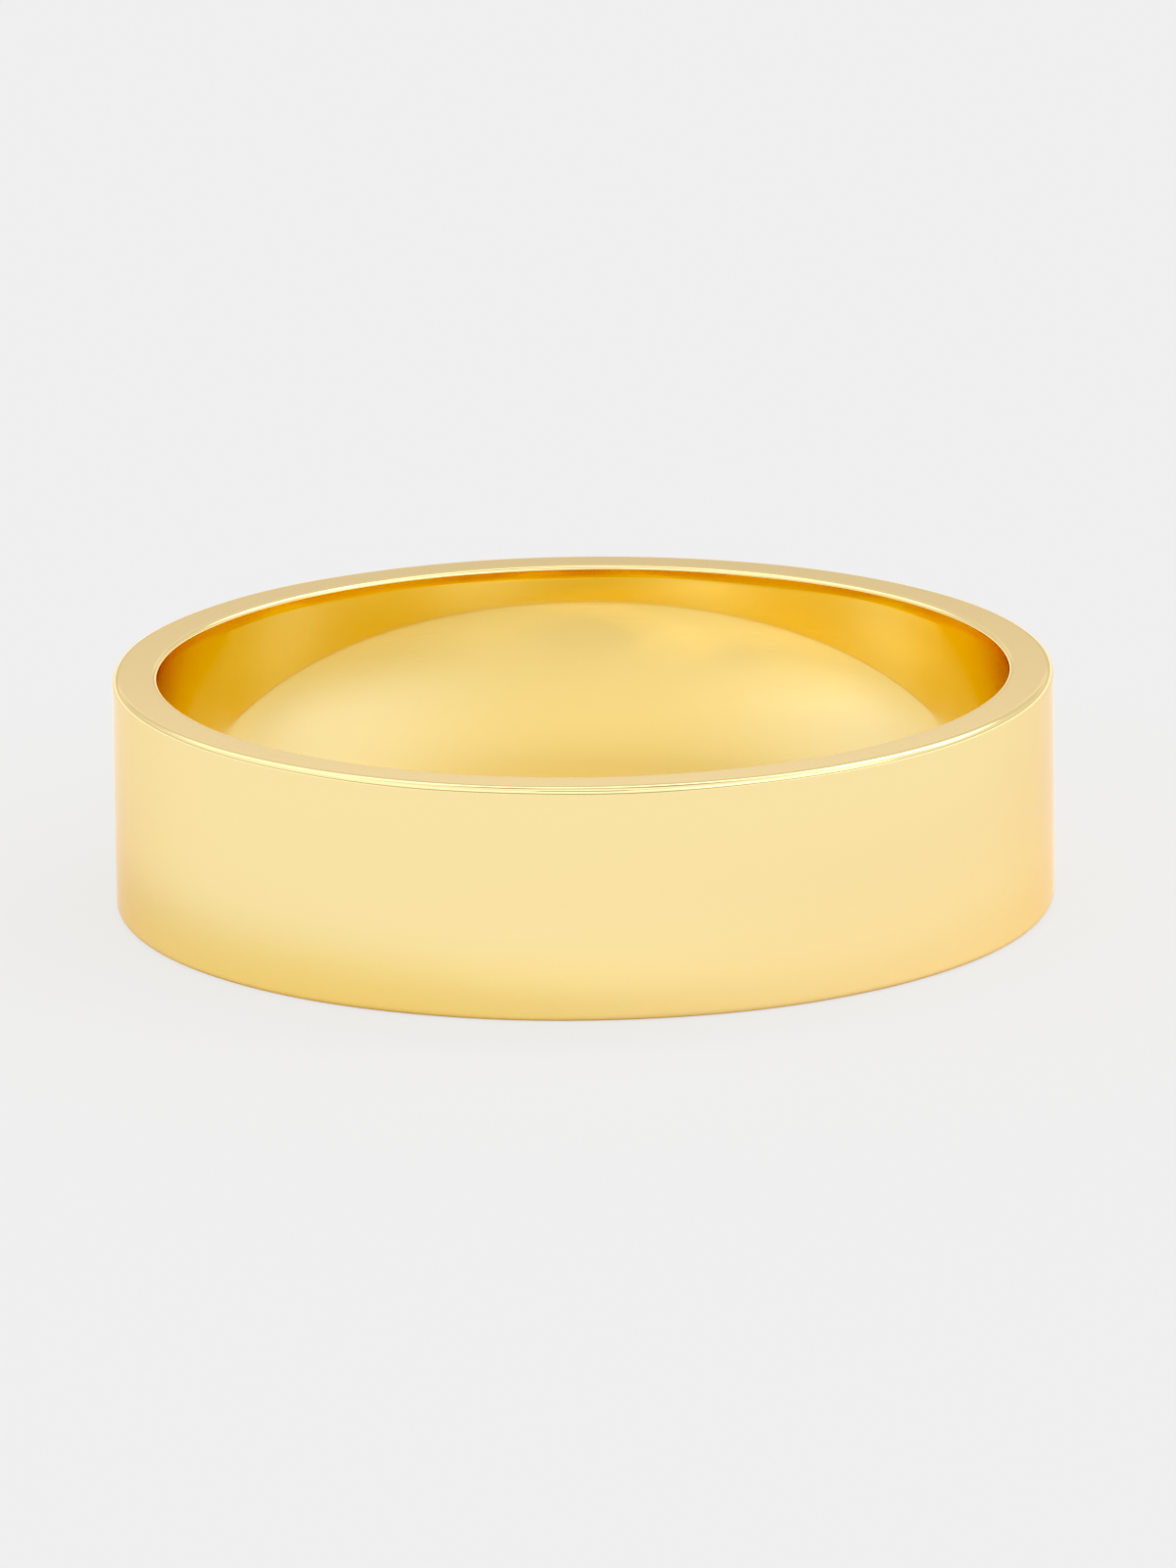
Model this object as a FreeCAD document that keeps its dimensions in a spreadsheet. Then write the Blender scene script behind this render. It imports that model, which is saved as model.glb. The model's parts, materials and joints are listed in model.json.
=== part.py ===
"""Flat wedding band of polished yellow gold, made at the bench from flat wire.

A straight strip of rectangular wire is bent into a ring, its two square-cut ends meet, and a thin film of gold
solder closes the joint.  The ring is then trued, and its four long edges are rounded over and polished.  Nothing
moves.  Two solids make the object: the bent strip and the solder between its ends.

Units are millimetres.  The ring lies on one end face: +Z is the axis of the finger hole, and the origin is the
centre of the hole in the plane of the face that the ring rests on.
"""

import FreeCAD
import Part
import Sketcher

import os

PARTS_FOLDER = "parts"

# Driving dimensions, in millimetres and degrees.
DIMENSIONS = (
    ("finger_diameter", 18.0, "inside diameter, 56.5 mm round the finger"),
    ("wall_thickness", 1.0, "radial thickness of the flat wire"),
    ("band_width", 5.0, "width of the flat wire, along the ring's axis"),
    ("outer_edge_radius", 0.2, "rounding of the two edges of the outside"),
    ("inner_edge_radius", 0.1, "rounding of the two edges of the finger hole"),
    ("solder_film", 0.04, "solder between the wire's ends, at the middle of the wall"),
    ("seam_bearing", 180.0, "direction of the seam about +Z, from +X"),
)

# The solder film is so thin that its arc and its chord are the same length.
SOLDER_ANGLE = (
    "dims.solder_film / (dims.finger_diameter / 2 + dims.wall_thickness / 2) * 180 deg / pi"
)

# Sketcher's numbers for a sketch's own X axis and for the two ends of a line.
X_AXIS = -1
START = 1
END = 2

SAME_RADIUS = 1e-6
ORIGIN = FreeCAD.Vector(0, 0, 0)
UP = FreeCAD.Vector(0, 0, 1)


def make_dimension_sheet(doc):
    """The spreadsheet of driving dimensions: a name, a value with an alias, and a note on each row."""
    sheet = doc.addObject("Spreadsheet::Sheet", "dims")
    for row, (alias, value, note) in enumerate(DIMENSIONS, start=1):
        sheet.set(f"A{row}", alias)
        sheet.set(f"B{row}", str(value))
        sheet.set(f"C{row}", note)
        sheet.setAlias(f"B{row}", alias)
    doc.recompute()
    return sheet


def origin_plane(body, role):
    """One of the body's own origin planes, by its role."""
    return next(plane for plane in body.Origin.OriginFeatures if plane.Role == role)


def bind(sketch, name, constraint, expression):
    """Adds a named dimension to a sketch and ties it to the sheet."""
    index = sketch.addConstraint(constraint)
    sketch.renameConstraint(index, name)
    sketch.setExpression("Constraints." + name, expression)


def draw_wire_section(body, sheet):
    """The wire's square-cornered section: a rectangle that stands on the X axis, clear of the ring's axis."""
    sketch = body.newObject("Sketcher::SketchObject", body.Name + "_section")
    sketch.AttachmentSupport = (origin_plane(body, "XZ_Plane"), [""])
    sketch.MapMode = "FlatFace"

    inner = sheet.finger_diameter / 2
    outer = inner + sheet.wall_thickness
    top = sheet.band_width
    corners = [
        FreeCAD.Vector(inner, 0, 0),
        FreeCAD.Vector(outer, 0, 0),
        FreeCAD.Vector(outer, top, 0),
        FreeCAD.Vector(inner, top, 0),
    ]
    following_corners = corners[1:] + corners[:1]
    sides = [
        sketch.addGeometry(Part.LineSegment(corner, following))
        for corner, following in zip(corners, following_corners)
    ]
    for side, following in zip(sides, sides[1:] + sides[:1]):
        sketch.addConstraint(
            Sketcher.Constraint("Coincident", side, END, following, START)
        )

    base, outside, lid, inside = sides
    sketch.addConstraint(Sketcher.Constraint("Horizontal", base))
    sketch.addConstraint(Sketcher.Constraint("Vertical", outside))
    sketch.addConstraint(Sketcher.Constraint("Horizontal", lid))
    sketch.addConstraint(Sketcher.Constraint("Vertical", inside))
    sketch.addConstraint(Sketcher.Constraint("PointOnObject", base, START, X_AXIS))
    bind(
        sketch,
        "finger_radius",
        Sketcher.Constraint("DistanceX", X_AXIS, START, base, START, inner),
        "dims.finger_diameter / 2 * 1 mm",
    )
    bind(
        sketch,
        "wall",
        Sketcher.Constraint("DistanceX", base, START, base, END, outer - inner),
        "dims.wall_thickness * 1 mm",
    )
    bind(
        sketch,
        "width",
        Sketcher.Constraint("DistanceY", outside, START, outside, END, top),
        "dims.band_width * 1 mm",
    )
    return sketch


def bend_wire(body, section, angle, bearing):
    """Turns the section about the ring's axis through an angle, half of it to each side of a bearing."""
    bend = body.newObject("PartDesign::Revolution", body.Name + "_bend")
    bend.Profile = section
    bend.ReferenceAxis = (section, ["V_Axis"])
    bend.Midplane = True
    bend.setExpression("Angle", angle)
    body.Placement = FreeCAD.Placement(ORIGIN, FreeCAD.Rotation(UP, 0))
    body.setExpression("Placement.Rotation.Angle", bearing)
    body.Document.recompute()
    return bend


def long_edges(shape, radius):
    """Names of the edges that run round the ring's axis at one radius."""
    return [
        f"Edge{number}"
        for number, edge in enumerate(shape.Edges, start=1)
        if isinstance(edge.Curve, Part.Circle)
        and abs(edge.Curve.Radius - radius) < SAME_RADIUS
    ]


def round_edges(body, base, name, radius, rounding):
    """Rounds the two long edges at one radius of the ring, by a cell of the sheet."""
    fillet = body.newObject("PartDesign::Fillet", body.Name + name)
    fillet.Base = (base, long_edges(base.Shape, radius))
    fillet.setExpression("Radius", rounding)
    body.Document.recompute()
    return fillet


def make_sector(doc, sheet, label, angle, bearing):
    """A sector of the finished ring: the section turned through an angle, with its long edges rounded."""
    body = doc.addObject("PartDesign::Body", label)
    body.Label = label
    section = draw_wire_section(body, sheet)
    bend = bend_wire(body, section, angle, bearing)
    inner = sheet.finger_diameter / 2
    outer = inner + sheet.wall_thickness
    rounded = round_edges(
        body, bend, "_outer_edges", outer, "dims.outer_edge_radius * 1 mm"
    )
    round_edges(body, rounded, "_inner_edges", inner, "dims.inner_edge_radius * 1 mm")
    return body


def make_band(doc, sheet):
    """The bent strip: all of the ring but the solder, with its middle opposite the seam."""
    angle = "360 deg - " + SOLDER_ANGLE
    return make_sector(
        doc, sheet, "band", angle, "(dims.seam_bearing - 180) * 1 deg"
    )


def make_solder_seam(doc, sheet):
    """The film of solder that fills the gap between the strip's two ends, dressed flush all round."""
    return make_sector(
        doc, sheet, "solder_seam", SOLDER_ANGLE, "dims.seam_bearing * 1 deg"
    )


def check_document(doc):
    """Stops if any object failed to recompute, because FreeCAD doesn't raise for that."""
    for item in doc.Objects:
        if "Invalid" in item.State or "Error" in item.State:
            raise RuntimeError(f"{item.Name} failed: {item.State}")


def write_part(body):
    """Checks one sub-part's solid and writes it as a STEP file named by its Label."""
    shape = body.Shape
    if shape.isNull() or not shape.isValid() or len(shape.Solids) != 1:
        raise RuntimeError(f"{body.Label} is not one valid solid")
    shape.exportStep(os.path.join(PARTS_FOLDER, body.Label + ".step"))
    print(f"{body.Label}: {shape.Volume:.4f} mm3")


def main():
    doc = FreeCAD.newDocument("wedding_band")
    sheet = make_dimension_sheet(doc)
    parts = [make_band(doc, sheet), make_solder_seam(doc, sheet)]
    doc.recompute()
    check_document(doc)
    os.makedirs(PARTS_FOLDER, exist_ok=True)
    for body in parts:
        write_part(body)


main()
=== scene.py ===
"""Looks of the polished gold wedding band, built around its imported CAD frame.

The band and its solder seam are fine lathe meshes whose four long edges roll over softly, as polishing
leaves them.  They take their sizes from the frame.  Lengths are in metres, and MM turns millimetres into
them.
"""

import json
import math
import random

import bpy
from mathutils import Matrix, Vector


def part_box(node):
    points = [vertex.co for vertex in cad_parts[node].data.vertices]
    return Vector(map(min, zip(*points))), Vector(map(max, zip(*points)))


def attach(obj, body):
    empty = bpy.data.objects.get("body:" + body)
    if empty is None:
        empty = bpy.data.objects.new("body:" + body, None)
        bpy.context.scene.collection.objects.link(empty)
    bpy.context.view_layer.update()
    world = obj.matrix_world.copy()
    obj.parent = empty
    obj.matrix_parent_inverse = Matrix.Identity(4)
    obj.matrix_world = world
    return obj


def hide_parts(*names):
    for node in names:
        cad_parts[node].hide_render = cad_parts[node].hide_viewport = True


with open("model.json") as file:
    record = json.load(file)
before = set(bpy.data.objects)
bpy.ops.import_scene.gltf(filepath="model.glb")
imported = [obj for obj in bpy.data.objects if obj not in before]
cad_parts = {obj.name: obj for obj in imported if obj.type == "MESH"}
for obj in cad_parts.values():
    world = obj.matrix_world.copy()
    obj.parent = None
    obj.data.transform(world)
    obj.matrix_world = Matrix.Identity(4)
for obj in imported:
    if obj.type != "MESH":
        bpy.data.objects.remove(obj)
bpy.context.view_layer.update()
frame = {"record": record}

MM = 0.001

# --------------------------------------------------------------------------------------------------
# The ring's sizes, from the frame
# --------------------------------------------------------------------------------------------------

BAND_LOW, BAND_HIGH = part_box("band")
OUTER_RADIUS = BAND_HIGH.y
WIDTH = BAND_HIGH.z - BAND_LOW.z
MOUNTS = {mount["name"]: mount for mount in frame["record"]["mounts"]}
FINGER_RADIUS = MOUNTS["finger_hole"]["dims"]["r_mm"] * MM

# The seam crosses the wall at -X, so its box reaches half the solder film's outside width along Y.
SEAM_BEARING = math.pi
SEAM_LOW, SEAM_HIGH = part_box("solder_seam")
HALF_SEAM = math.asin(SEAM_HIGH.y / OUTER_RADIUS)

# --------------------------------------------------------------------------------------------------
# Mesh
# --------------------------------------------------------------------------------------------------

# Steps round the ring, then along each stretch of its section.
BAND_SEGMENTS = 600
SEAM_SEGMENTS = 2
ARC_STEPS = 14
LEAD_STEPS = 7
WALL_STEPS = 20
RIM_STEPS = 4


def middles(count):
    """The middles of the equal shares that a count divides 0 to 1 into."""
    return [(step + 0.5) / count for step in range(count)]


def steps_between(first, last, count):
    """Values in equal steps from the first up to the one before the last."""
    return [first + (last - first) * step / count for step in range(count)]


class Edge:
    """How one of the ring's long edges is rounded: an arc with a shallow run-out on each side.

    The higher the facet number, the more the wall's run-out is a flat facet instead of a fading curve.
    """

    def __init__(self, radius, wall_lead, wall_lead_angle, rim_lead, rim_lead_angle, facet=1):
        self.radius = radius
        self.wall_lead = wall_lead
        self.wall_lead_angle = wall_lead_angle
        self.rim_lead = rim_lead
        self.rim_lead_angle = rim_lead_angle
        self.facet = facet

    def strokes(self):
        """Short straight strokes from the rim to the wall, each its tilt off the rim and its length."""
        arc_angle = math.pi / 2 - self.rim_lead_angle - self.wall_lead_angle
        for part in middles(LEAD_STEPS):
            yield self.rim_lead_angle * part ** 2, self.rim_lead / LEAD_STEPS
        for part in middles(ARC_STEPS):
            yield self.rim_lead_angle + arc_angle * part, self.radius * arc_angle / ARC_STEPS
        for part in middles(LEAD_STEPS):
            tilt = math.pi / 2 - self.wall_lead_angle * (1 - part ** self.facet)
            yield tilt, self.wall_lead / LEAD_STEPS

    def path(self, swell):
        """Points from the rim to the wall, each its distance from the rim's plane and from the wall."""
        depth = 0.0
        along = 0.0
        points = [(depth, along)]
        for tilt, length in self.strokes():
            depth += math.sin(tilt) * length * swell
            along += math.cos(tilt) * length * swell
            points.append((depth, along))
        return [(point_depth, along - point_along) for point_depth, point_along in points]


# Both edges of the outside, then the hole's upper edge, and its lower edge, which hides under the ring.
OUTER_EDGE = Edge(0.125 * MM, 0.06 * MM, math.radians(5), 0.05 * MM, math.radians(5))
INNER_EDGE = Edge(0.09 * MM, 0.22 * MM, math.radians(4.2), 0.04 * MM, math.radians(6), facet=4)
INNER_FOOT = Edge(0.03 * MM, 0.01 * MM, math.radians(3), 0.01 * MM, math.radians(6))

rng = random.Random(54)


def make_waves(count, lowest, highest):
    """A few random waves round the ring, each its number of periods, phase and share."""
    waves = [
        (rng.randint(lowest, highest), rng.uniform(0, 2 * math.pi), rng.uniform(0.4, 1))
        for _ in range(count)
    ]
    total = sum(share for _, _, share in waves)
    return [(periods, phase, share / total) for periods, phase, share in waves]


def wave(waves, bearing):
    """The sum of the waves at one bearing, between -1 and 1."""
    return sum(
        share * math.sin(periods * bearing + phase) for periods, phase, share in waves
    )


# How much an edge's rounding varies, as shares of it: random swells, and more wear towards one side.
SWELL = 0.12
WEAR = 0.3
WORN_SIDE = math.radians(-75)
OUTER_SWELL = make_waves(5, 2, 14)
INNER_SWELL = make_waves(5, 2, 14)

# How far the two walls stray from true cylinders: slight waves round the ring, and a crown across it.
FACE_WAVE = 0.0008 * MM
CROWN = 0.015 * MM
OUTER_WAVES = make_waves(4, 3, 16)
INNER_WAVES = make_waves(4, 3, 12)


def crown(height):
    """How far buffing has taken a wall down at a height, most at its two edges."""
    return CROWN * (2 * height / WIDTH - 1) ** 2


def across_end_face(first, last):
    """The points between two others on one end face."""
    height = first[1]
    return [(radius, height) for radius in steps_between(first[0], last[0], RIM_STEPS)[1:]]


def section(bearing):
    """The closed section at one bearing: (radius, height) points, from the outer wall's foot upwards."""
    wear = WEAR * math.cos(bearing - WORN_SIDE)
    inner_swell = 1 + SWELL * wave(INNER_SWELL, bearing)
    outer_roll = OUTER_EDGE.path(1 + SWELL * wave(OUTER_SWELL, bearing) + wear)
    inner_roll = INNER_EDGE.path(inner_swell)
    foot_roll = INNER_FOOT.path(inner_swell)
    outer_dip = FACE_WAVE * (1 + wave(OUTER_WAVES, bearing))
    inner_dip = FACE_WAVE * (1 + wave(INNER_WAVES, bearing))

    def outer(height, inset=0.0):
        """A point of the outside, set in from its wall."""
        return OUTER_RADIUS - inset - outer_dip - crown(height), height

    def inner(height, inset=0.0):
        """A point of the finger hole, set in from its wall."""
        return FINGER_RADIUS + inset + inner_dip + crown(height), height

    wall_low = outer_roll[-1][0]
    bore_low = foot_roll[-1][0]
    bore_high = WIDTH - inner_roll[-1][0]
    outside = [outer(height) for height in steps_between(wall_low, WIDTH - wall_low, WALL_STEPS)]
    outside += [outer(WIDTH - depth, inset) for depth, inset in reversed(outer_roll)]
    inside = [inner(WIDTH - depth, inset) for depth, inset in inner_roll]
    inside += [inner(height) for height in steps_between(bore_high, bore_low, WALL_STEPS)[1:]]
    inside += [inner(depth, inset) for depth, inset in reversed(foot_roll)]
    foot = [outer(depth, inset) for depth, inset in outer_roll[:-1]]
    rim = across_end_face(outside[-1], inside[0])
    underside = across_end_face(inside[-1], foot[0])
    return outside + rim + inside + underside + foot


def ring_points(bearing):
    """The section's points in space at one bearing."""
    turn = Matrix.Rotation(bearing, 3, "Z")
    return [turn @ Vector((radius, 0, height)) for radius, height in section(bearing)]


def surface_normals(before, here, after):
    """The surface's normals at one bearing, each from the points round it on the surface."""
    count = len(here)
    normals = []
    for point in range(count):
        round_ring = after[point] - before[point]
        along_section = here[(point + 1) % count] - here[point - 1]
        normals.append(round_ring.cross(along_section).normalized())
    return normals


def lathe_faces(count, segments):
    """The faces of a turned solid whose section has count points: its two flat ends, then its skin."""
    first_end = tuple(range(count))
    last_end = tuple(segments * count + point for point in reversed(range(count)))
    faces = [first_end, last_end]
    for index in range(segments):
        here = index * count
        there = here + count
        for point in range(count):
            following = (point + 1) % count
            faces.append((here + point, there + point, there + following, here + following))
    return faces


def lathe(name, start, sweep, segments):
    """A closed solid: the section carried round the axis from one bearing to another, with flat ends."""
    step = sweep / segments
    rings = [ring_points(start + step * index) for index in range(-1, segments + 2)]
    vertices = []
    normals = []
    for before, here, after in zip(rings, rings[1:], rings[2:]):
        vertices.extend(here)
        normals.extend(surface_normals(before, here, after))
    mesh = bpy.data.meshes.new(name)
    mesh.from_pydata(vertices, [], lathe_faces(len(rings[0]), segments))
    mesh.polygons.foreach_set("use_smooth", [True] * len(mesh.polygons))
    mesh.normals_split_custom_set_from_vertices(normals)
    mesh.validate()
    piece = bpy.data.objects.new(name, mesh)
    bpy.context.scene.collection.objects.link(piece)
    return piece


# --------------------------------------------------------------------------------------------------
# Shader nodes
# --------------------------------------------------------------------------------------------------


def math_node(tree, operation, *values):
    """A Math node fed by numbers or by other nodes' outputs; gives back its output."""
    node = tree.nodes.new("ShaderNodeMath")
    node.operation = operation
    for socket, value in zip(node.inputs, values):
        if isinstance(value, (int, float)):
            socket.default_value = value
        else:
            tree.links.new(value, socket)
    return node.outputs[0]


def colour_mix(tree, factor, first, second):
    """A blend of two colours, each three numbers or another node's output."""
    node = tree.nodes.new("ShaderNodeMix")
    node.data_type = "RGBA"
    for socket, value in (("Factor", factor), ("A", first), ("B", second)):
        if isinstance(value, tuple):
            node.inputs[socket].default_value = (*value, 1)
        else:
            tree.links.new(value, node.inputs[socket])
    return node.outputs["Result"]


def ramp_between(tree, value, low, high, first=0.0, last=1.0):
    """A value's run from low to high turned smoothly into first to last, and held beyond."""
    node = tree.nodes.new("ShaderNodeMapRange")
    node.interpolation_type = "SMOOTHSTEP"
    node.inputs["From Min"].default_value = low
    node.inputs["From Max"].default_value = high
    node.inputs["To Min"].default_value = first
    node.inputs["To Max"].default_value = last
    tree.links.new(value, node.inputs["Value"])
    return node.outputs["Result"]


# --------------------------------------------------------------------------------------------------
# Materials
# --------------------------------------------------------------------------------------------------


class RingSpot:
    """Where a point of the ring is: bearing round the axis, radius, height, and distance to the side."""

    def __init__(self, tree):
        axes = tree.nodes.new("ShaderNodeSeparateXYZ")
        tree.links.new(tree.nodes.new("ShaderNodeTexCoord").outputs["Object"], axes.inputs[0])
        x = axes.outputs["X"]
        y = axes.outputs["Y"]
        x_square = math_node(tree, "MULTIPLY", x, x)
        y_square = math_node(tree, "MULTIPLY", y, y)
        self.bearing = math_node(tree, "ARCTAN2", y, x)
        self.radius = math_node(tree, "SQRT", math_node(tree, "ADD", x_square, y_square))
        self.height = axes.outputs["Z"]
        self.aside = math_node(tree, "ABSOLUTE", x)


class PaintedLightPatches:
    """Patches of painted light spread evenly round the ring, the first centred on a bearing.

    They fade out upwards between two heights.  The higher the sharpness, the narrower each patch.
    """

    def __init__(self, bearing, count, sharpness, fade_low, fade_high):
        self.bearing = math.radians(bearing)
        self.count = count
        self.sharpness = sharpness
        self.fade_low = fade_low
        self.fade_high = fade_high

    def strength(self, tree, spot):
        """1 in the middle of a patch, 0 away from the patches."""
        turn = math_node(tree, "SUBTRACT", spot.bearing, self.bearing)
        swing = math_node(tree, "COSINE", math_node(tree, "MULTIPLY", turn, self.count))
        peak = math_node(tree, "MULTIPLY_ADD", swing, 0.5, 0.5)
        patch = math_node(tree, "POWER", peak, self.sharpness)
        low = ramp_between(tree, spot.height, self.fade_low, self.fade_high, 1.0, 0.0)
        return math_node(tree, "MULTIPLY", patch, low)


class Tint:
    """A base colour with painted light over it, each a set of patches and its colour."""

    def __init__(self, base, *painted_patches):
        self.base = base
        self.painted_patches = painted_patches

    def colour(self, tree, spot):
        """The tint at a spot: three numbers where there are no patches of painted light, or else a node's
        output.
        """
        mixed = self.base
        for patches, painted_colour in self.painted_patches:
            mixed = colour_mix(tree, patches.strength(tree, spot), mixed, painted_colour)
        return mixed


# Painted reflection on the outside: a warmer tint over the lower outside at the front right, and a deeper
# yellow near the foot at the front left, for the floor's shade and gold glow that the wall mirrors there.
PAINTED_WARM_REFLECTION = PaintedLightPatches(-42, 1, 6, 0.5 * WIDTH, 0.95 * WIDTH)
PAINTED_DEEP_REFLECTION = PaintedLightPatches(-122, 1, 8, 0.08 * WIDTH, 0.38 * WIDTH)
# Painted highlight: paler patches low in the finger hole, for the brightly lit floor that its walls mirror.
PAINTED_PALE_HIGHLIGHT = PaintedLightPatches(42, 4, 1.5, 0.42 * WIDTH, 0.7 * WIDTH)

# Gold, and its solder, which is a shade paler. Both are given a deeper yellow inside the finger hole,
# painted shade for the golden half-light between its walls. The gold also carries the painted reflection and
# highlight above.
GOLD_WITH_PAINTED_REFLECTIONS = Tint(
    (0.93, 0.765, 0.40),
    (PAINTED_WARM_REFLECTION, (0.93, 0.745, 0.39)),
    (PAINTED_DEEP_REFLECTION, (0.93, 0.725, 0.29)),
)
GOLD_INSIDE_SHADE_AND_HIGHLIGHT = Tint((0.915, 0.722, 0.305), (PAINTED_PALE_HIGHLIGHT, (0.98, 0.845, 0.485)))
SOLDER_OUTSIDE = Tint((0.93, 0.77, 0.41))
SOLDER_INSIDE_SHADE = Tint((0.915, 0.727, 0.315))

# How much of either metal's reflection is left at a grazing angle. The inside's is set apart from the
# outside's as part of the painted shade in the finger hole.
OUTSIDE_EDGE = (0.958, 0.85, 0.72)
INSIDE_EDGE = (0.945, 0.9, 0.82)

# The inside's painted-shade colours end this far into the metal from the wall of the hole, and the outside's
# start.
INSIDE_ENDS = 0.005 * MM
OUTSIDE_STARTS = 0.045 * MM

# Buffing lines are streaks of a noise this long round the ring and this wide across it.
LINE_LENGTH = 1.5 * MM
LINE_WIDTH = 0.003 * MM
LINE_THRESHOLD = (0.64, 0.72)
LINE_DEPTH = 0.000005 * MM
LINE_ROUGHNESS = 0.22

# The polish, and how much duller it is at the two sides of the finger hole, where x is more than this
# share of the radius.
POLISH_ROUGHNESS = 0.03
BORE_SIDES = (0.82, 0.88)
BORE_SIDE_ROUGHNESS = 0.18


def buffing_lines(tree, spot):
    """Streaks round the ring, 0 on the polish between them and 1 on a line."""
    along = tree.nodes.new("ShaderNodeCombineXYZ")
    length = math_node(tree, "MULTIPLY", spot.bearing, OUTER_RADIUS / LINE_LENGTH)
    tree.links.new(length, along.inputs["X"])
    tree.links.new(math_node(tree, "DIVIDE", spot.radius, LINE_WIDTH), along.inputs["Y"])
    tree.links.new(math_node(tree, "DIVIDE", spot.height, LINE_WIDTH), along.inputs["Z"])
    noise = tree.nodes.new("ShaderNodeTexNoise")
    noise.inputs["Scale"].default_value = 1
    noise.inputs["Detail"].default_value = 1
    tree.links.new(along.outputs["Vector"], noise.inputs["Vector"])
    return ramp_between(tree, noise.outputs["Fac"], *LINE_THRESHOLD)


def ring_roughness(tree, spot, depth, lines):
    """Bright polish, duller at the sides of the finger hole and on the buffing lines."""
    sideways = math_node(tree, "DIVIDE", spot.aside, spot.radius)
    side = ramp_between(tree, sideways, *BORE_SIDES, 0.0, BORE_SIDE_ROUGHNESS - POLISH_ROUGHNESS)
    bore = math_node(tree, "MULTIPLY", side, math_node(tree, "SUBTRACT", 1, depth))
    polish = math_node(tree, "ADD", bore, POLISH_ROUGHNESS)
    rest = math_node(tree, "MULTIPLY", polish, math_node(tree, "SUBTRACT", 1, lines))
    return math_node(tree, "MULTIPLY_ADD", lines, LINE_ROUGHNESS, rest)


def polished_metal(name, outside, inside):
    """Polished metal for the band or its seam: one tint outside, another inside the finger hole, where its
    deeper yellow is painted shade.
    """
    material = bpy.data.materials.new(name)
    material.use_nodes = True
    tree = material.node_tree
    shader = tree.nodes["Principled BSDF"]
    shader.inputs["Metallic"].default_value = 1
    spot = RingSpot(tree)
    depth = ramp_between(
        tree, spot.radius, FINGER_RADIUS + INSIDE_ENDS, FINGER_RADIUS + OUTSIDE_STARTS
    )
    # Painted shade: the inside tint takes over in the finger hole, and each tint brings its own patches of
    # painted light.
    colour = colour_mix(tree, depth, inside.colour(tree, spot), outside.colour(tree, spot))
    tree.links.new(colour, shader.inputs["Base Color"])
    tree.links.new(colour_mix(tree, depth, INSIDE_EDGE, OUTSIDE_EDGE), shader.inputs["Specular Tint"])
    lines = buffing_lines(tree, spot)
    tree.links.new(ring_roughness(tree, spot, depth, lines), shader.inputs["Roughness"])
    bump = tree.nodes.new("ShaderNodeBump")
    bump.invert = True
    bump.inputs["Distance"].default_value = LINE_DEPTH
    tree.links.new(lines, bump.inputs["Height"])
    tree.links.new(bump.outputs["Normal"], shader.inputs["Normal"])
    return material


def make_ring():
    """The band and its solder seam, each in place of its CAD node."""
    seam_sweep = 2 * HALF_SEAM
    band_sweep = 2 * math.pi - seam_sweep
    band = lathe("polished_band", SEAM_BEARING + HALF_SEAM, band_sweep, BAND_SEGMENTS)
    seam = lathe("polished_seam", SEAM_BEARING - HALF_SEAM, seam_sweep, SEAM_SEGMENTS)
    band.data.materials.append(polished_metal("polished_gold", GOLD_WITH_PAINTED_REFLECTIONS, GOLD_INSIDE_SHADE_AND_HIGHLIGHT))
    seam.data.materials.append(polished_metal("polished_solder", SOLDER_OUTSIDE, SOLDER_INSIDE_SHADE))
    for piece, node, slot in ((band, "band", "gold"), (seam, "solder_seam", "solder")):
        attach(piece, "root")
        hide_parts(node)


# --------------------------------------------------------------------------------------------------
# Studio
# --------------------------------------------------------------------------------------------------

# What the camera sees of the backdrop and of the floor, and how far the floor's own shading gives way.
BACKDROP = 0.8695
FLOOR_FILL = 0.837
FLOOR_FILL_SHARE = 0.8

# The floor's half size, and how much of the light its paper gives back.
FLOOR_HALF = 3.0
FLOOR_ALBEDO = 0.815

# Brightness of the studio towards each side, as (elevation in degrees, brightness) stops.  The near side
# is the camera's.
FAR_SIDE = (
    (0, 1.3), (8, 1.3), (11.5, 0.75), (13.5, 0.72), (15, 1.02), (20, 0.8), (41, 0.8),
    (55, 0.95), (61, 2.4), (70, 2.4), (73, 0.35), (78, 0.3), (84, 0.95), (90, 0.95),
)
RIGHT_SIDE = (
    (0, 1.55), (7, 1.25), (13, 0.75), (15.5, 0.65), (20, 1.05), (33, 1.05), (50, 1.4), (60, 1.2),
    (72, 0.8), (80, 0.4), (84, 0.95), (90, 0.95),
)
NEAR_SIDE = (
    (0, 1.3), (7, 0.65), (11.5, 0.4), (16, 0.4), (20, 0.8), (26, 1.55), (33, 1.55), (50, 1.15),
    (60, 0.8), (68, 1.6), (76, 1.8), (80, 0.35), (84, 0.95), (90, 0.95),
)
LEFT_SIDE = (
    (0, 1.6), (7, 1.0), (13, 0.6), (15.5, 0.65), (20, 1.05), (26, 1.2), (33, 1.05), (50, 1.4),
    (60, 1.1), (72, 1.0), (80, 0.4), (84, 0.95), (90, 0.95),
)


class Panel:
    """A card or softbox: its bearing clockwise from +Y, elevation, half sizes and border, in degrees.

    Its strength is the share of the light that a card takes away, or the brightness that a softbox adds.
    """

    def __init__(self, bearing, elevation, half_width, half_height, border, strength):
        self.bearing = math.radians(bearing)
        self.elevation = elevation
        self.half_width = half_width
        self.half_height = half_height
        self.border = border
        self.strength = strength


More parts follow.
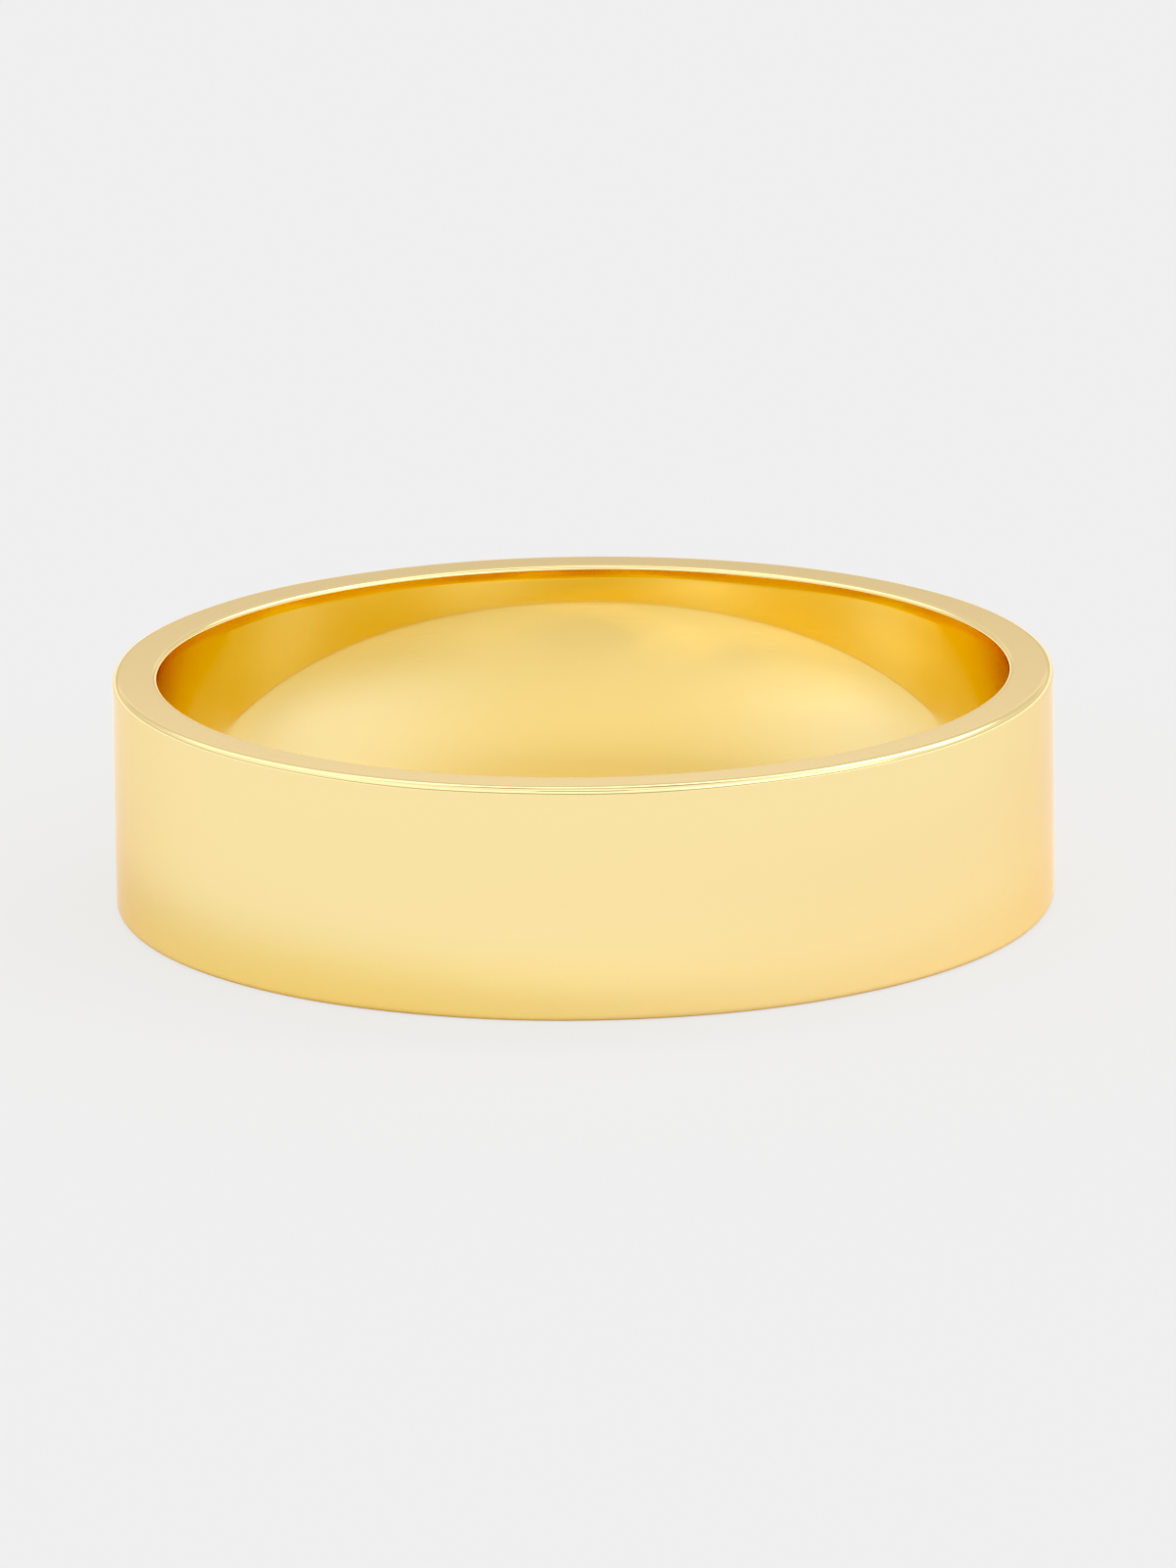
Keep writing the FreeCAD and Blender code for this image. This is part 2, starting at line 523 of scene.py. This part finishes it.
# A black card above the camera, and three softboxes: near right, far right and far left.
NEAR_CARD = Panel(180, 51, half_width=14, half_height=6, border=2, strength=0.55)
SOFTBOXES = (
    Panel(125, 34, half_width=30, half_height=13, border=3, strength=0.6),
    Panel(50, 46, half_width=21, half_height=14, border=3, strength=1.45),
    Panel(-42, 46, half_width=20, half_height=14, border=4, strength=0.45),
)


def make_floor():
    """A pale paper sweep that takes the studio's light but looks nearly even to the camera."""
    mesh = bpy.data.meshes.new("floor")
    corners = [(-1, -1), (1, -1), (1, 1), (-1, 1)]
    mesh.from_pydata([(x * FLOOR_HALF, y * FLOOR_HALF, 0) for x, y in corners], [], [(0, 1, 2, 3)])
    floor = bpy.data.objects.new("floor", mesh)
    bpy.context.scene.collection.objects.link(floor)
    mesh.materials.append(floor_paper())


def floor_paper():
    """Matt paper, mostly covered by an even fill in what the camera sees."""
    material = bpy.data.materials.new("floor_paper")
    material.use_nodes = True
    tree = material.node_tree
    paper = tree.nodes["Principled BSDF"]
    paper.inputs["Base Color"].default_value = (FLOOR_ALBEDO, FLOOR_ALBEDO, FLOOR_ALBEDO, 1)
    paper.inputs["Roughness"].default_value = 1
    paper.inputs["Specular IOR Level"].default_value = 0
    fill = tree.nodes.new("ShaderNodeEmission")
    fill.inputs["Color"].default_value = (FLOOR_FILL, FLOOR_FILL, FLOOR_FILL, 1)
    seen = tree.nodes.new("ShaderNodeLightPath").outputs["Is Camera Ray"]
    mix = tree.nodes.new("ShaderNodeMixShader")
    tree.links.new(math_node(tree, "MULTIPLY", seen, FLOOR_FILL_SHARE), mix.inputs["Fac"])
    tree.links.new(paper.outputs["BSDF"], mix.inputs[1])
    tree.links.new(fill.outputs["Emission"], mix.inputs[2])
    tree.links.new(mix.outputs["Shader"], tree.nodes["Material Output"].inputs["Surface"])
    return material


def brightness_ramp(tree, elevation, stops):
    """Brightness by elevation, straight between stops."""
    node = tree.nodes.new("ShaderNodeValToRGB")
    elements = node.color_ramp.elements
    while len(elements) < len(stops):
        elements.new(0.5)  # for now: every stop gets its own place below
    for element, (degrees, brightness) in zip(elements, stops):
        element.position = degrees / 90
        element.color = (brightness, brightness, brightness, 1)
    tree.links.new(math_node(tree, "DIVIDE", elevation, 90), node.inputs["Fac"])
    return node.outputs["Color"]


# A direction's level part is kept above this, because straight up and down it would be nothing to divide by.
LEAST_LEVEL = 0.0001


class Sky:
    """The studio all round, put together from its brightness towards the four sides and a few panels."""

    def __init__(self, tree):
        self.tree = tree
        axes = tree.nodes.new("ShaderNodeSeparateXYZ")
        tree.links.new(tree.nodes.new("ShaderNodeTexCoord").outputs["Generated"], axes.inputs[0])
        self.x = axes.outputs["X"]
        self.y = axes.outputs["Y"]
        level = self.math("SQRT", self.math("ADD", self.square(self.x), self.square(self.y)))
        self.level = self.math("MAXIMUM", level, LEAST_LEVEL)
        self.elevation = self.math("DEGREES", self.math("ARCSINE", axes.outputs["Z"]))

    def math(self, operation, *values):
        """A Math node in the sky's own tree."""
        return math_node(self.tree, operation, *values)

    def square(self, value):
        """A value times itself."""
        return self.math("MULTIPLY", value, value)

    def side(self, positive, negative, along):
        """One of two opposite sides' brightness, by the sign of a direction."""
        mix = self.tree.nodes.new("ShaderNodeMix")
        self.tree.links.new(self.math("GREATER_THAN", along, 0), mix.inputs["Factor"])
        self.tree.links.new(brightness_ramp(self.tree, self.elevation, negative), mix.inputs["A"])
        self.tree.links.new(brightness_ramp(self.tree, self.elevation, positive), mix.inputs["B"])
        return mix.outputs["Result"]

    def sides(self):
        """The four sides' brightness, blended by bearing."""
        share = self.math("DIVIDE", self.square(self.y), self.square(self.level))
        mix = self.tree.nodes.new("ShaderNodeMix")
        self.tree.links.new(share, mix.inputs["Factor"])
        self.tree.links.new(self.side(RIGHT_SIDE, LEFT_SIDE, self.x), mix.inputs["A"])
        self.tree.links.new(self.side(FAR_SIDE, NEAR_SIDE, self.y), mix.inputs["B"])
        return mix.outputs["Result"]

    def inside(self, panel):
        """1 inside a panel, 0 outside it."""
        ahead = self.math(
            "ADD",
            self.math("MULTIPLY", self.x, math.sin(panel.bearing)),
            self.math("MULTIPLY", self.y, math.cos(panel.bearing)),
        )
        cosine = self.math("DIVIDE", ahead, self.level)
        swing = self.math("DEGREES", self.math("ARCCOSINE", cosine))
        rise = self.math("ABSOLUTE", self.math("SUBTRACT", self.elevation, panel.elevation))
        across = self.within(swing, panel.half_width, panel.border)
        upright = self.within(rise, panel.half_height, panel.border)
        return self.math("MULTIPLY", across, upright)

    def within(self, distance, limit, border):
        """1 where a distance is under its limit, falling to 0 across a soft border."""
        return ramp_between(self.tree, distance, limit - border, limit + border, 1.0, 0.0)

    def shade(self, light, card):
        """The light that a black card leaves."""
        taken = self.math("MULTIPLY", self.inside(card), card.strength)
        return self.math("MULTIPLY", light, self.math("SUBTRACT", 1, taken))

    def lamp(self, light, softbox):
        """The light with a softbox's added."""
        added = self.math("MULTIPLY", self.inside(softbox), softbox.strength)
        return self.math("ADD", light, added)


def make_world():
    """The studio as the ring sees it; the camera sees an even backdrop instead."""
    world = bpy.data.worlds.new("studio")
    world.use_nodes = True
    tree = world.node_tree
    sky = Sky(tree)
    light = sky.shade(sky.sides(), NEAR_CARD)
    for softbox in SOFTBOXES:
        light = sky.lamp(light, softbox)
    studio = tree.nodes["Background"]
    tree.links.new(light, studio.inputs["Color"])
    backdrop = tree.nodes.new("ShaderNodeBackground")
    backdrop.inputs["Color"].default_value = (BACKDROP, BACKDROP, BACKDROP, 1)
    mix = tree.nodes.new("ShaderNodeMixShader")
    tree.links.new(tree.nodes.new("ShaderNodeLightPath").outputs["Is Camera Ray"], mix.inputs["Fac"])
    tree.links.new(studio.outputs["Background"], mix.inputs[1])
    tree.links.new(backdrop.outputs["Background"], mix.inputs[2])
    tree.links.new(mix.outputs["Shader"], tree.nodes["World Output"].inputs["Surface"])
    bpy.context.scene.world = world


# --------------------------------------------------------------------------------------------------
# Camera and picture
# --------------------------------------------------------------------------------------------------

CAMERA_ELEVATION = math.radians(14.76)
CAMERA_ROLL = math.radians(0.726)
CAMERA_DISTANCE = 0.3
CAMERA_CLIP = (0.01, 10)

# The lens and the sensor's width are in millimetres, as Blender takes them.
CAMERA_LENS = 323.9
CAMERA_SENSOR = 36

# The point that the lens looks at, a hair off the ring's middle.
AIM = Vector((0.079 * MM, 0, WIDTH / 2 - 0.043 * MM))

# Black level of the picture: this much light or less comes out black, and white stays white.
BLACK_LEVEL = 0.0475


def make_camera():
    """A long lens in front of the ring, a little above it, rolled slightly, that looks at its middle."""
    lens = bpy.data.cameras.new("camera")
    lens.lens = CAMERA_LENS
    lens.sensor_width = CAMERA_SENSOR
    lens.clip_start, lens.clip_end = CAMERA_CLIP
    camera = bpy.data.objects.new("camera", lens)
    back = Vector((0, -math.cos(CAMERA_ELEVATION), math.sin(CAMERA_ELEVATION)))
    look = back.to_track_quat("Z", "Y").to_matrix() @ Matrix.Rotation(-CAMERA_ROLL, 3, "Z")
    camera.matrix_world = Matrix.LocRotScale(AIM + back * CAMERA_DISTANCE, look.to_quaternion(), None)
    bpy.context.scene.collection.objects.link(camera)
    bpy.context.scene.camera = camera


def set_bounces():
    """Sharp light paths, long enough for reflections of reflections across the finger hole."""
    cycles = bpy.context.scene.cycles
    cycles.max_bounces = 16
    cycles.glossy_bounces = 12
    cycles.diffuse_bounces = 6
    cycles.blur_glossy = 0.0


def set_tone():
    """Plain colours down to the picture's black level."""
    view = bpy.context.scene.view_settings
    view.view_transform = "Standard"
    view.use_curve_mapping = True
    view.curve_mapping.black_level = (BLACK_LEVEL, BLACK_LEVEL, BLACK_LEVEL)
    view.curve_mapping.update()


make_camera()
make_ring()
make_floor()
make_world()
set_bounces()
set_tone()
